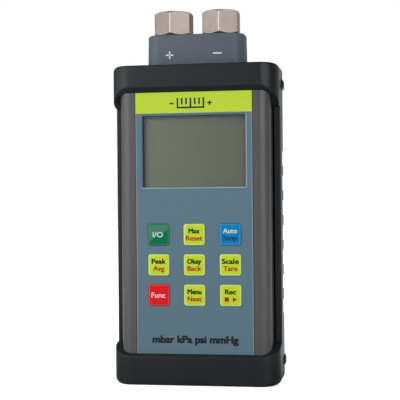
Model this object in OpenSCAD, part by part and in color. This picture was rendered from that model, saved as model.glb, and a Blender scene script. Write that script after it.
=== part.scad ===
// Hand-held digital manometer in a rubber boot.
// It stands on the flat bottom of the boot: +Z is up, the face looks along -Y and X runs to its right.
// The origin is the centre of the bottom.

/* [Case] */
// Width of the case across both shells
case_w = 80; // [76:0.5:90]
// Depth of the case from its front plane to its back
case_d = 33.3; // [32:0.1:38]
// Height of the case without the port block
case_h = 161.3; // [156:0.1:180]
// Radius of the four upright edges of the case
case_r = 6; // [4:0.5:9]
// Radius of the corners at the two ends of the case
case_end_r = 3; // [1:0.5:6]
// Wall thickness of both shells
case_wall = 2.2; // [1.8:0.1:2.6]
// How far the parting plane and the port axes lie in front of the middle of the case
split_shift = 0.45; // [0:0.05:0.8]

/* [Boot] */
// Rubber beside the case
boot_side = 4.1; // [3:0.1:6]
// Rubber behind the case
boot_back = 3; // [2:0.1:5]
// Rubber lip in front of the case, at the top and bottom bands
boot_front = 2.2; // [1.5:0.1:3.5]
// Rubber under the case
boot_floor = 3.2; // [2:0.1:6]
// Rubber over the case
boot_roof = 3.4; // [2:0.1:6]
// Radius of the lower corners of the boot, seen from the front
boot_foot_r = 3.4; // [2:0.5:8]
// Radius of the upper corners of the boot, seen from the front
boot_top_r = 2.8; // [1:0.5:6]
// Depth of the set-back side lips behind the front plane of the case
lip_d = 13.1; // [10:0.1:15]
// Thickness of the rubber at the side lips
lip_wall = 3.3; // [2.2:0.1:3.6]
// Height of the bottom band's edge above the bottom of the case
band_low = 13.2; // [10:0.1:18]
// Distance of the top band's edge below the top of the case
band_high = 11.1; // [8:0.1:16]
// Rise of the bottom band's edge from the front to the side lip
rise_low = 5.9; // [3:0.1:10]
// Fall of the top band's edge from the front to the side lip
rise_high = 8.2; // [4:0.1:12]

/* [Grip] */
// Number of grip notches on each side
notch_count = 7; // [3:1:9]
// Height of one notch
notch_h = 7.7; // [4:0.1:9]
// Distance from one notch to the next
notch_pitch = 13.25; // [11:0.05:14.5]
// Depth of a notch in the rubber
notch_t = 0.7; // [0.3:0.1:1.2]
// Height of the lowest notch above the bottom of the case
notch_up = 32.3; // [26:0.1:36]

/* [Face] */
// Width of the case's rail on each side of the faceplate
rail_w = 9.1; // [7:0.05:10]
// Thickness of the faceplate, let into the front shell
label_t = 0.5; // [0.3:0.05:0.8]
// Height of the yellow-green band at the top of the faceplate
stripe_h = 10.9; // [6:0.1:12]
// Width of the faceplate on each side of the display opening
window_side = 3.55; // [3.2:0.05:6]
// Height of the display opening, as a share of the case's height
window_share = 0.2337; // [0.2:0.0001:0.235]
// Height of the display opening's centre above the bottom of the case, as a share of the case's height
window_up_share = 0.7387; // [0.73:0.0001:0.745]

/* [Keys] */
// Width of a key cap
key_w = 11.3; // [9:0.1:12.5]
// Gap between the caps of two rows
key_gap = 4.6; // [3:0.05:6]
// Corner radius of a key cap
key_r = 1.3; // [0.6:0.1:2.5]
// Distance between key columns, as a share of the faceplate's width
column_share = 0.307; // [0.25:0.001:0.31]
// Distance between key rows, as a share of the case's height
row_share = 0.09827; // [0.092:0.0001:0.102]
// Height of the centre key above the bottom of the case, as a share of the case's height
keys_up_share = 0.3707; // [0.35:0.0001:0.38]
// How far a key stands out of the faceplate
key_proud = 0.7; // [0.4:0.1:1.5]
// Travel of a key
key_travel = 0.5; // [0.3:0.05:0.6]

/* [Ports] */
// Distance between the two port axes
port_pitch = 25.65; // [23:0.05:28]
// How far the port block is set in from each side of the case
block_side = 13.7; // [12:0.1:15]
// Mean distance of the port block from the front and from the back of the case
block_step = 5.9; // [5.2:0.05:6.6]
// Height of the port block above the top of the case
block_rise = 20.1; // [16:0.1:26]
// Radius of the upright edges of the port block
block_r = 7.5; // [5:0.5:9.5]
// Width across flats of a union nut
nut_af = 19; // [18.5:0.1:21]
// Height of a union nut
nut_h = 12.6; // [12:0.1:16]
// Radius of the union thread
thread_r = 8; // [7.8:0.05:8.5]
// Radius of the tube that a port takes
tube_r = 5; // [4:0.1:5.5]

/* [Batteries] */
// Radius of one cell, as a share of the case's depth
cell_share = 0.2177; // [0.2:0.0001:0.218]
// Length of one cell with its nub
cell_len = 50.5; // [44:0.1:51]
// Number of cells side by side
cell_count = 4; // [2:1:4]
// How far the battery tray reaches past the door's opening on each side
door_side = 2; // [1.5:0.1:4]
// Height of the battery door's opening
door_h = 50; // [44:0.5:52]
// Height of the battery door's lower edge above the bottom of the case
door_up = 10; // [9:0.5:12]

/* [Hidden] */

$fn = 64;

// Overrun of every cut past the face that it leaves
cut = 0.5;
// Clearance between the case and the side walls of the boot
boot_gap = 0.2;
// Clearance beside a flat sliding or let-in piece
fit_gap = 0.15;
// Clearance round the faceplate in its recess
label_gap = 0.35;
// Clearance round a key cap in its hole, and round a door in its opening
hole_gap = 0.3;
// Radial running clearance of a turning or threaded piece
run_gap = 0.05;

boot_w = case_w + 2 * (boot_gap + boot_side);
boot_d = boot_front + case_d + boot_back;
boot_h = boot_floor + case_h + boot_roof;
boot_r = case_r + boot_gap + boot_side;
case_y = boot_front - boot_d / 2;
split_d = case_d / 2 - split_shift;
inner_w = case_w - 2 * case_wall;
inner_back = case_d - case_wall;
inner_top = case_h - case_wall;

// Steps of the curve that carries the band edges round to the side lips
shoulder_steps = 8;
// Bend of that curve at the bottom and at the top: 1 is straight, less is rounder
low_bend_share = 0.8;
high_bend_share = 1;
// Width and depth of the groove between the case and each side lip
lip_groove_w = boot_gap + boot_side - lip_wall;
lip_groove_d = 4;
// Depth at which the grip notches start, behind the front plane
notch_d = 18;
// Side lugs: height, length along the depth, and how far they stand out
lug_h = 5.8;
lug_len = 9;
lug_t = 1;
lug_d = 20;
lug_low_up = 4.8;
lug_high_down = 9.2;

// Window of the boot round the battery door
boot_window_edge = 3;

// How far the faceplate runs under the bands of the boot
label_reach = 1.3;
label_w = case_w - 2 * rail_w;
label_z = band_low - label_reach;
label_h = case_h - band_high + label_reach - label_z;
stripe_z = case_h - band_high - stripe_h;
window_w = label_w - 2 * window_side;
window_h = case_h * window_share;
window_up = case_h * window_up_share;
key_pitch_x = label_w * column_share;
key_pitch_z = case_h * row_share;
key_h = key_pitch_z - key_gap;
keys_up = case_h * keys_up_share;

// Bosses of the case screws
boss_r = 3;
boss_low = 9;
boss_high = 8.3;
boss_x = inner_w / 2 - boss_r - 2 * fit_gap;
case_screw_r = 1.25;
case_screw_tip_d = 8;
case_head_r = 2.2;
case_head_t = 2;
head_recess = 3.5;
case_screw_len = case_d - head_recess - case_screw_tip_d;
screw_tip_gap = 1;

// Circuit board
board_side = 9;
board_w = case_w - 2 * board_side;
board_t = 1.6;
board_d = 8.5;
board_up = 15;
board_down = 9.1;
board_top = inner_top - board_down;
board_back = board_d + board_t;
post_r = 2.4;
post_x = board_w / 2 - post_r - fit_gap;
post_margin = 3;
post_zs = [
    board_up + post_margin,
    (keys_up + key_pitch_z + key_h / 2 + window_up - window_h / 2) / 2,
    board_top - post_margin
];
board_screw_r = 0.9;
board_screw_len = 6;
board_head_r = 2;
board_head_t = 1.4;

// Display: lens, glass, frame and connector strips
lens_t = 1;
lens_edge = 2;
glass_edge = 1;
glass_t = 2.6;
glass_gap = 0.2;
frame_wall = 2;
frame_lip = 0.8;
zebra_edge = 2.6;
zebra_w = window_w - 2 * zebra_edge;
zebra_t = 2;
glass_d = case_wall + lens_t + glass_gap;

// Keys: flange behind the shell, and the switch under each key
flange_edge = 1;
flange_t = 1;
plunger_r = 2;
switch_w = 6;
switch_t = 3.5;
stem_r = 1.75;
stem_t = 0.8;
key_slack = 0.1;
key_crown_edge = 0.5;
key_crown_t = 0.3;
flange_d = case_wall + key_slack;
stem_d = board_d - switch_t - stem_t;
plunger_d = stem_d - key_travel - key_slack;

// Port block below the top of the case
block_w = case_w - 2 * block_side;
block_d = case_d - 2 * block_step;
block_gap = fit_gap;
block_flange_edge = 2.3;
block_flange_t = 3.3;
block_foot_edge = 4.2;
block_foot_w = block_w - 2 * block_foot_edge;
block_foot_d = 16;
block_foot_t = 4.3;
shelf_w = 20;
shelf_t = 2;
barb_r = 1.8;
barb_bore_r = 1;
barb_len = 7;
barb_head_r = 2.1;
barb_head_t = 1.2;
block_top = case_h + block_rise;
block_flange_z = inner_top - block_flange_t;
block_foot_z = block_flange_z - block_foot_t;
barb_z = block_foot_z - barb_len;

// Port fittings
shank_r = 6;
shank_len = 12;
seal_t = 1.5;
passage_r = 2.5;
thread_len = 9;
tube_socket_len = 8;
tube_gap = 0.05;
olive_h = 1.6;
olive_t = 2.1;
olive_bevel = 0.6;
nut_foot_gap = 0.1;
nut_bevel = 1;
nut_turn_plus = -1.5;
nut_turn_minus = 1;
hex_turn = 30;
olive_z = block_top + thread_len + run_gap;
nut_z = block_top + nut_foot_gap;
nut_roof_z = olive_z + olive_h + run_gap;

// Hoses and sensor
hose_wall = 1;
hose_straight = 8;
hose_drop = 16;
hose_sides = 12;
hose_steps = 10;
sensor_x = 6;
sensor_w = 20;
sensor_h = 16;
sensor_d = 2 * (split_d - board_back);
hose_bore_r = barb_head_r + run_gap;
hose_r = hose_bore_r + hose_wall;
hose_shift = port_pitch / 2 - sensor_x;
sensor_top = block_foot_z - 2 * hose_straight - hose_drop;

// Battery tray, contacts and leads
tray_wall = 1.2;
tray_floor = 1.2;
tray_side_gap = 0.5;
tray_w = 2 * (boss_x - boss_r - tray_side_gap);
cell_gap = 0.1;
cell_pitch = (tray_w - 2 * (cell_gap + tray_wall)) / cell_count;
cell_r = min(case_d * cell_share, (cell_pitch - fit_gap) / 2 - cell_gap);
cell_nub_r = 2.75;
cell_nub_len = 1;
contact_share = 1.24;
contact_w = cell_r * contact_share;
contact_t = 0.4;
leaf_len = 4.7;
leaf_w = 5;
tray_h = cell_len + leaf_len + 2 * contact_t + 2 * tray_wall;
tray_foot_gap = 2.2;
tray_z = case_wall + tray_foot_gap;
tray_d = inner_back - tray_floor - 2 * cell_r - 2 * cell_gap - fit_gap;
cell_d = tray_d + tray_floor + cell_gap + cell_r;
lead_r = 0.7;
lead_bend_r = 4;
lead_x = 16;
lead_rise = 4.2;
socket_w = 8;
socket_h = 6;
lead_d = tray_d + lead_r + fit_gap;
socket_z = tray_z + tray_h + lead_rise + lead_bend_r - socket_h / 2;

// Battery door
door_w = tray_w - 2 * door_side;
door_t = 1.8;
tongue_w = 4.6;
tongue_t = 1;
tongue_reach = 2;
tongue_x = cell_pitch;
tongue_d = inner_back - tongue_t - hole_gap;
grip_w = 16;
grip_h = 5;
grip_t = 0.6;
grip_down = 9;

// Chips and buzzer on the back of the board, between the sensor and the board's edges
chip_t = 1.6;
large_chip_w = 12;
small_chip_w = 6;
small_chip_h = 5;
chip_x = (sensor_w + board_w) / 4;
sensor_mid = sensor_top - sensor_h / 2;
buzzer_r = 5;
buzzer_t = 3.6;
buzzer_side = 10;
buzzer_x = board_w / 2 - buzzer_side;
buzzer_rise = 19;
buzzer_up = keys_up + buzzer_rise;

boot_colour = [0.16, 0.16, 0.17];
case_colour = [0.36, 0.36, 0.37];
block_colour = [0.34, 0.37, 0.41];
label_colour = [0.37, 0.47, 0.53];
stripe_colour = [0.73, 0.82, 0.26];
nickel_colour = [0.72, 0.68, 0.64];
brass_colour = [0.78, 0.66, 0.38];
board_colour = [0.1, 0.38, 0.2];
green_colour = [0, 0.45, 0.29];
blue_colour = [0, 0.5, 0.74];
red_colour = [0.86, 0.12, 0.14];
hose_colour = [0.82, 0.8, 0.76];
steel_colour = [0.75, 0.75, 0.75];
dark_colour = [0.13, 0.13, 0.14];
black_colour = [0.08, 0.08, 0.08];
lens_colour = [0.8, 0.85, 0.85, 0.4];
lcd_colour = [0.4, 0.44, 0.4];
strip_colour = [0.9, 0.5, 0.6];
sensor_colour = [0.88, 0.87, 0.83];
cell_colour = [0.2, 0.42, 0.62];
lead_colour = [0.75, 0.1, 0.1];

// Places its children in the case's own frame:
// y is the depth behind the front plane and z the height above the bottom of the case
module in_case() {
    translate([0, case_y, boot_floor])
        children();
}

// Flat rectangle with round corners, centred
module rounded_rect(w, h, r) {
    square([w - 2 * r, h], center = true);
    square([w, h - 2 * r], center = true);
    for (x = [-1, 1], y = [-1, 1])
        translate([x * (w / 2 - r), y * (h / 2 - r)])
            circle(r = r);
}

// Block with upright edges of radius r and end corners of radius end_r,
// from y = 0 backwards and from z = 0 upwards
module rounded_block(w, d, h, r, end_r) {
    intersection() {
        translate([0, d / 2, 0])
            linear_extrude(h)
                rounded_rect(w, d, r);
        translate([0, d, h / 2])
            rotate([90, 0, 0])
                linear_extrude(d)
                    rounded_rect(w, h, end_r);
    }
}

// Plate that faces the front: w wide, h high, t thick, its front at depth d and its centre at height z
module front_plate(w, h, r, t, d, z) {
    translate([0, d + t, z])
        rotate([90, 0, 0])
            linear_extrude(t)
                rounded_rect(w, h, r);
}

// Straight box centred in x: from depth d and height z
module box(w, t, h, d, z) {
    translate([-w / 2, d, z])
        cube([w, t, h]);
}

// Round bar along the depth
module depth_bar(r, t, x, d, z) {
    translate([x, d + t, z])
        rotate([90, 0, 0])
            cylinder(r = r, h = t);
}

// Ring or tube along z
module tube(r_out, r_in, h) {
    difference() {
        cylinder(r = r_out, h = h);
        translate([0, 0, -cut])
            cylinder(r = r_in, h = h + 2 * cut);
    }
}

// Both places of a pair that is mirrored left and right
module both_sides(x) {
    for (side = [-1, 1])
        translate([side * x, 0, 0])
            children();
}

// Boot

// Edge of a band in side view: depth and height along the curve, t from 0 at the front to 1 at the lip
function shoulder(t, z_front, z_lip, bend_share) =
    [t * lip_d, z_front + (z_lip - z_front) * pow(t, bend_share)];

function shoulder_curve(z_front, z_lip, bend_share) =
    [for (i = [0:shoulder_steps]) shoulder(i / shoulder_steps, z_front, z_lip, bend_share)];

// Side view of the open front, between the two bands
module opening_side_view() {
    low = band_low;
    high = case_h - band_high;
    low_curve = shoulder_curve(low, low + rise_low, low_bend_share);
    high_curve = shoulder_curve(high, high - rise_high, high_bend_share);
    front = -boot_front - cut;
    polygon(concat(
        [[front, low]],
        low_curve,
        [for (i = [shoulder_steps:-1:0]) high_curve[i]],
        [[front, high]]
    ));
}

module boot_body() {
    translate([0, case_y - boot_front, 0])
        intersection() {
            rounded_block(boot_w, boot_d, boot_h + boot_foot_r, boot_r, boot_foot_r);
            translate([0, 0, -boot_top_r])
                rounded_block(boot_w, boot_d, boot_h + boot_top_r, boot_r, boot_top_r);
        }
}

module boot_opening() {
    rotate([90, 0, 90])
        linear_extrude(boot_w + 2 * cut, center = true)
            opening_side_view();
}

// Grooves that leave the thin side lips free of the case
module lip_grooves() {
    z = band_low + rise_low;
    h = case_h - band_high - rise_high - z;
    for (side = [-1, 1])
        translate([side * (case_w / 2 + lip_groove_w / 2), 0, 0])
            box(lip_groove_w, lip_groove_d + cut, h, lip_d - cut, z);
}

module grip_notches() {
    for (i = [0:notch_count - 1], side = [-1, 1])
        translate([side * (boot_w / 2 - notch_t / 2 + cut / 2), 0, 0])
            box(
                notch_t + cut, case_d + boot_back - notch_d + cut, notch_h,
                notch_d, notch_up + i * notch_pitch
            );
}

module side_lugs() {
    for (z = [lug_low_up, case_h - lug_high_down], side = [-1, 1])
        translate([side * (boot_w / 2 + lug_t / 2 - boot_side / 4), 0, 0])
            box(lug_t + boot_side / 2, lug_len, lug_h, lug_d, z);
}

module boot() {
    color(boot_colour)
        difference() {
            union() {
                boot_body();
                in_case()
                    side_lugs();
            }
            in_case() {
                rounded_block(case_w + 2 * boot_gap, case_d, case_h, case_r, case_end_r);
                boot_opening();
                lip_grooves();
                grip_notches();
                translate([0, split_d, case_h - cut])
                    linear_extrude(boot_roof + 2 * cut)
                        rounded_rect(block_w + 2 * hole_gap, block_d + 2 * hole_gap, block_r);
                box(
                    door_w + 2 * boot_window_edge,
                    boot_back + 2 * cut,
                    door_h + 2 * boot_window_edge,
                    case_d - cut,
                    door_up - boot_window_edge
                );
            }
        }
}

// Case

module case_shell() {
    difference() {
        rounded_block(case_w, case_d, case_h, case_r, case_end_r);
        translate([0, case_wall, case_wall])
            rounded_block(
                inner_w, case_d - 2 * case_wall, case_h - 2 * case_wall,
                case_r - case_wall, max(case_end_r - case_wall, case_end_r / 4)
            );
        translate([0, split_d, inner_top - cut])
            linear_extrude(case_wall + 2 * cut)
                rounded_rect(block_w + 2 * block_gap, block_d + 2 * block_gap, block_r);
    }
}

module case_bosses(d, t) {
    for (x = [-boss_x, boss_x], z = [boss_low, case_h - boss_high])
        depth_bar(boss_r, t, x, d, z);
}

module case_screw_holes(r, d, t) {
    for (x = [-boss_x, boss_x], z = [boss_low, case_h - boss_high])
        depth_bar(r, t, x, d, z);
}

function key_x(column) = (column - 1) * key_pitch_x;
function key_z(row) = keys_up + (1 - row) * key_pitch_z;

module key_holes(gap, t, d) {
    for (column = [0:2], row = [0:2])
        translate([key_x(column), 0, 0])
            front_plate(key_w + 2 * gap, key_h + 2 * gap, key_r + gap, t, d, key_z(row));
}

module front_case() {
    color(case_colour)
        in_case()
            difference() {
                union() {
                    intersection() {
                        case_shell();
                        box(case_w + 2 * cut, split_d + cut, case_h + 2 * cut, -cut, -cut);
                    }
                    case_bosses(case_wall - fit_gap, split_d - case_wall + fit_gap);
                    for (x = [-post_x, post_x], z = post_zs)
                        depth_bar(post_r, board_d - case_wall + fit_gap, x, case_wall - fit_gap, z);
                    box(
                        shelf_w, split_d - block_foot_d / 2 - case_wall, shelf_t,
                        case_wall - fit_gap, block_flange_z - shelf_t
                    );
                }
                front_plate(
                    label_w + 2 * label_gap, label_h + 2 * label_gap, label_gap,
                    label_t + cut, -cut, label_z + label_h / 2
                );
                front_plate(window_w, window_h, fit_gap, case_wall + 2 * cut, -cut, window_up);
                key_holes(hole_gap, case_wall + 2 * cut, -cut);
                case_screw_holes(case_screw_r + run_gap, case_wall + screw_tip_gap, split_d);
                for (x = [-post_x, post_x], z = post_zs)
                    depth_bar(board_screw_r + run_gap, board_d, x, case_wall + screw_tip_gap / 2, z);
            }
}

module rear_case() {
    color(case_colour)
        in_case()
            difference() {
                union() {
                    intersection() {
                        case_shell();
                        box(case_w + 2 * cut, case_d, case_h + 2 * cut, split_d, -cut);
                    }
                    case_bosses(split_d, inner_back - split_d + fit_gap);
                    box(
                        shelf_w, inner_back - split_d - block_foot_d / 2 - fit_gap, shelf_t,
                        split_d + block_foot_d / 2 + 2 * fit_gap, block_flange_z - shelf_t
                    );
                }
                case_screw_holes(case_screw_r + 2 * fit_gap, split_d - cut, case_d);
                case_screw_holes(case_head_r + fit_gap, case_d - head_recess, head_recess + cut);
                box(door_w, case_wall + 2 * cut, door_h, inner_back - cut, door_up);
            }
}

module case_screws() {
    color(steel_colour)
        in_case()
            for (x = [-boss_x, boss_x], z = [boss_low, case_h - boss_high]) {
                depth_bar(case_screw_r, case_screw_len, x, case_d - head_recess - case_screw_len, z);
                difference() {
                    depth_bar(case_head_r, case_head_t, x, case_d - head_recess, z);
                    depth_bar(
                        case_screw_r, case_head_t, x,
                        case_d - head_recess + case_head_t / 2, z, $fn = 6
                    );
                }
            }
}

module battery_door() {
    color(case_colour)
        in_case()
            difference() {
                union() {
                    box(
                        door_w - 2 * hole_gap, door_t, door_h - 2 * hole_gap,
                        case_d - door_t, door_up + hole_gap
                    );
                    for (x = [-tongue_x, tongue_x])
                        translate([x, 0, 0]) {
                            box(
                                tongue_w, tongue_t, 2 * tongue_reach + hole_gap,
                                tongue_d, door_up - tongue_reach
                            );
                            box(
                                tongue_w, case_d - door_t - tongue_d, tongue_reach - hole_gap,
                                tongue_d, door_up + hole_gap
                            );
                        }
                }
                box(grip_w, grip_t + cut, grip_h, case_d - grip_t, door_up + door_h - grip_down);
            }
}

// Face

// The part of the faceplate from height z up, h high
module face_region(z, h) {
    in_case()
        difference() {
            intersection() {
                front_plate(label_w, label_h, fit_gap, label_t, 0, label_z + label_h / 2);
                box(label_w + 2 * cut, label_t + 2 * cut, h, -cut, z);
            }
            front_plate(window_w, window_h, fit_gap, label_t + 2 * cut, -cut, window_up);
            key_holes(fit_gap, label_t + 2 * cut, -cut);
        }
}

module faceplate() {
    color(label_colour)
        face_region(label_z, stripe_z - label_z);
    color(stripe_colour)
        face_region(stripe_z, label_z + label_h - stripe_z);
}

module display_window() {
    color(lens_colour)
        in_case()
            front_plate(
                window_w + 2 * lens_edge, window_h + 2 * lens_edge, fit_gap,
                lens_t, case_wall, window_up
            );
}

// Keys

module key_cap(column, row, colour) {
    color(colour)
        in_case()
            translate([key_x(column), 0, 0]) {
                front_plate(
                    key_w - 2 * key_crown_edge, key_h - 2 * key_crown_edge, key_r - key_crown_edge / 2,
                    key_crown_t, -key_proud, key_z(row)
                );
                front_plate(
                    key_w, key_h, key_r,
                    key_proud + flange_d - key_crown_t, key_crown_t - key_proud, key_z(row)
                );
                front_plate(
                    key_w + 2 * flange_edge, key_h + 2 * flange_edge, key_r,
                    flange_t, flange_d, key_z(row)
                );
                depth_bar(plunger_r, plunger_d - flange_d, 0, flange_d, key_z(row));
            }
}

module key_top_left() {
    key_cap(0, 0, green_colour);
}

module key_top_middle() {
    key_cap(1, 0, stripe_colour);
}

module key_top_right() {
    key_cap(2, 0, blue_colour);
}

module key_middle_left() {
    key_cap(0, 1, stripe_colour);
}

module key_centre() {
    key_cap(1, 1, stripe_colour);
}

module key_middle_right() {
    key_cap(2, 1, stripe_colour);
}

module key_bottom_left() {
    key_cap(0, 2, red_colour);
}

module key_bottom_middle() {
    key_cap(1, 2, stripe_colour);
}

module key_bottom_right() {
    key_cap(2, 2, stripe_colour);
}

module key_switches() {
    color(dark_colour)
        in_case()
            for (column = [0:2], row = [0:2])
                translate([key_x(column), 0, 0]) {
                    front_plate(switch_w, switch_w, fit_gap, switch_t, board_d - switch_t, key_z(row));
                    depth_bar(stem_r, stem_t, 0, stem_d, key_z(row));
                }
}

// Ports

module port_block() {
    color(block_colour)
        in_case()
            difference() {
                union() {
                    translate([0, split_d, block_flange_z])
                        linear_extrude(block_top - block_flange_z)
                            rounded_rect(block_w, block_d, block_r - block_gap);
                    translate([0, split_d, block_flange_z])
                        linear_extrude(block_flange_t)
                            rounded_rect(
                                block_w + 2 * block_flange_edge, block_d + 2 * block_flange_edge, block_r
                            );
                    box(
                        block_foot_w, block_foot_d, block_foot_t,
                        split_d - block_foot_d / 2, block_foot_z
                    );
                    both_sides(port_pitch / 2)
                        translate([0, split_d, barb_z]) {
                            cylinder(r = barb_r, h = barb_len);
                            cylinder(r1 = barb_r, r2 = barb_head_r, h = barb_head_t);
                        }
                }
                both_sides(port_pitch / 2)
                    translate([0, split_d, 0]) {
                        translate([0, 0, block_top - shank_len])
                            cylinder(r = shank_r + run_gap, h = shank_len + cut);
                        translate([0, 0, barb_z - cut])
                            cylinder(r = barb_bore_r, h = block_top - barb_z);
                    }
            }
}

module fitting() {
    difference() {
        union() {
            translate([0, 0, block_top - shank_len + seal_t])
                cylinder(r = shank_r, h = shank_len - seal_t + cut);
            translate([0, 0, block_top])
                cylinder(r = thread_r, h = thread_len);
        }
        translate([0, 0, block_top - shank_len])
            cylinder(r = passage_r, h = shank_len + thread_len);
        translate([0, 0, block_top + thread_len - tube_socket_len])
            cylinder(r = tube_r + tube_gap, h = tube_socket_len + cut);
    }
}

module at_port(side) {
    in_case()
        translate([side * port_pitch / 2, split_d, 0])
            children();
}

module plus_fitting() {
    color(nickel_colour)
        at_port(-1)
            fitting();
}

module minus_fitting() {
    color(nickel_colour)
        at_port(1)
            fitting();
}

module port_seals() {
    color(black_colour)
        for (side = [-1, 1])
            at_port(side)
                translate([0, 0, block_top - shank_len])
                    tube(shank_r, passage_r, seal_t);
}

// Cone ring between the fitting and the roof of the nut
module olive() {
    inner = tube_r + 2 * tube_gap;
    translate([0, 0, olive_z])
        rotate_extrude()
            polygon([
                [inner, 0],
                [inner + olive_t, 0],
                [inner + olive_t, olive_h - olive_bevel],
                [inner + olive_t - olive_bevel, olive_h],
                [inner, olive_h]
            ]);
}

module plus_olive() {
    color(brass_colour)
        at_port(-1)
            olive();
}

module minus_olive() {
    color(brass_colour)
        at_port(1)
            olive();
}

// Union nut: a hexagon whose corners are turned down at both ends
module nut(turn) {
    corner_r = nut_af / 2 / cos(hex_turn);
    bevel_r = nut_af / 2 - nut_bevel / 4;
    bevel_h = (corner_r - bevel_r) / 2;
    difference() {
        intersection() {
            translate([0, 0, nut_z])
                rotate([0, 0, hex_turn + turn])
                    cylinder(r = corner_r, h = nut_h, $fn = 6);
            translate([0, 0, nut_z])
                rotate_extrude()
                    polygon([
                        [0, 0],
                        [bevel_r, 0],
                        [corner_r, bevel_h],
                        [corner_r, nut_h - bevel_h],
                        [bevel_r, nut_h],
                        [0, nut_h]
                    ]);
        }
        translate([0, 0, nut_z - cut])
            cylinder(r = thread_r + run_gap, h = nut_roof_z - nut_z + cut);
        translate([0, 0, nut_z])
            cylinder(r = tube_r + 4 * tube_gap, h = nut_h + cut);
    }
}

module plus_nut() {
    color(nickel_colour)
        at_port(-1)
            nut(nut_turn_plus);
}

module minus_nut() {
    color(nickel_colour)
        at_port(1)
            nut(nut_turn_minus);
}

// Centre line of a hose in the plane of the ports: [x, z, slope angle], straight at both ends
// and between them a smooth S that shifts it towards the middle
function hose_station(t) = [
    hose_shift * t * t * (3 - 2 * t),
    block_foot_z - hose_straight - hose_drop * t,
    atan2(hose_shift * 6 * t * (1 - t), hose_drop)
];

function hose_ring(station, r) =
    [for (i = [0:hose_sides - 1])
        let (a = 360 * (i + 0.5) / hose_sides, x = r * cos(a))
            [station[0] + x * cos(station[2]), r * sin(a), station[1] + x * sin(station[2])]];

// Hose with a bore: outer rings go down, inner rings come back up
module hose() {
    stations = concat(
        [[0, block_foot_z, 0]],
        [for (i = [0:hose_steps]) hose_station(i / hose_steps)],
        [[hose_shift, sensor_top, 0]]
    );
    last = len(stations) - 1;
    widen = 1 / cos(180 / hose_sides);
    rings = concat(
        [for (i = [0:last]) hose_ring(stations[i], hose_r)],
        [for (i = [last:-1:0]) hose_ring(stations[i], hose_bore_r * widen)]
    );
    count = len(rings);
    polyhedron(
        points = [for (ring = rings, point = ring) point],
        faces = [
            for (i = [0:count - 1], j = [0:hose_sides - 1], half = [0, 1])
                let (
                    k = (j + 1) % hose_sides,
                    near = i * hose_sides,
                    far = (i + 1) % count * hose_sides
                )
                half == 0 ? [near + j, far + j, near + k] : [near + k, far + j, far + k]
        ]
    );
}

module plus_hose() {
    color(hose_colour)
        at_port(-1)
            hose();
}

module minus_hose() {
    color(hose_colour)
        in_case()
            translate([port_pitch / 2, split_d, 0])
                mirror([1, 0, 0])
                    hose();
}

module pressure_sensor() {
    color(sensor_colour)
        in_case()
            difference() {
                union() {
                    box(sensor_w, sensor_d, sensor_h, board_back, sensor_top - sensor_h);
                    both_sides(sensor_x)
                        translate([0, split_d, sensor_top]) {
                            cylinder(r = barb_r, h = barb_len);
                            translate([0, 0, barb_len - barb_head_t])
                                cylinder(r1 = barb_head_r, r2 = barb_r, h = barb_head_t);
                        }
                }
                both_sides(sensor_x)
                    translate([0, split_d, sensor_top - sensor_h / 4])
                        cylinder(r = barb_bore_r, h = sensor_h / 4 + barb_len + cut);
            }
}

// Display

module lcd_glass() {
    color(lcd_colour)
        in_case()
            front_plate(
                window_w + 2 * glass_edge, window_h + 2 * glass_edge, fit_gap,
                glass_t, glass_d, window_up
            );
}

module lcd_frame() {
    pocket_w = window_w + 2 * (glass_edge + fit_gap);
    pocket_h = window_h + 2 * (glass_edge + fit_gap);
    color(dark_colour)
        in_case()
            difference() {
                front_plate(pocket_w + 2 * frame_wall, pocket_h + 2 * frame_wall, frame_lip,
                    board_d - case_wall - lens_t, case_wall + lens_t, window_up);
                front_plate(pocket_w, pocket_h, fit_gap, board_d, case_wall + lens_t - cut, window_up);
            }
}

module zebra_strips() {
    color(strip_colour)
        in_case()
            for (side = [-1, 1])
                box(zebra_w, board_d - glass_d - glass_t, zebra_t, glass_d + glass_t,
                    window_up + side * (window_h / 2 - zebra_t) - zebra_t / 2);
}

// Electronics

module main_board() {
    color(board_colour)
        in_case()
            difference() {
                box(board_w, board_t, board_top - board_up, board_d, board_up);
                for (x = [-post_x, post_x], z = post_zs)
                    depth_bar(board_screw_r + fit_gap, board_t + 2 * cut, x, board_d - cut, z);
            }
}

module board_screws() {
    color(steel_colour)
        in_case()
            for (x = [-post_x, post_x], z = post_zs) {
                depth_bar(board_screw_r, board_screw_len, x, board_back - board_screw_len, z);
                depth_bar(board_head_r, board_head_t, x, board_back, z);
            }
}

module chip(w, h, x, z) {
    translate([x, 0, 0])
        box(w, chip_t, h, board_back, z - h / 2);
}

module board_chips() {
    color(dark_colour)
        in_case() {
            chip(large_chip_w, large_chip_w, -chip_x, sensor_mid);
            chip(small_chip_w, small_chip_h, chip_x, sensor_mid - small_chip_h);
            chip(small_chip_w, small_chip_h, chip_x, sensor_mid + small_chip_h);
            chip(small_chip_w, small_chip_h, -chip_x, buzzer_up);
        }
}

module buzzer() {
    color(black_colour)
        in_case()
            difference() {
                depth_bar(buzzer_r, buzzer_t, buzzer_x, board_back, buzzer_up);
                depth_bar(buzzer_r / 5, buzzer_t, buzzer_x, board_back + buzzer_t / 2, buzzer_up);
            }
}

module lead_socket() {
    color(sensor_colour)
        in_case()
            box(socket_w, lead_d + 2 * lead_r - board_back, socket_h, board_back, socket_z);
}

// Batteries

function cell_x(i) = (i - (cell_count - 1) / 2) * cell_pitch;
// 1 for a cell with its nub up, -1 for one with its nub down
function cell_way(i) = i % 2 == 0 ? 1 : -1;
tray_mid = tray_z + tray_h / 2;
tray_inside = tray_h - 2 * tray_wall;

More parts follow.
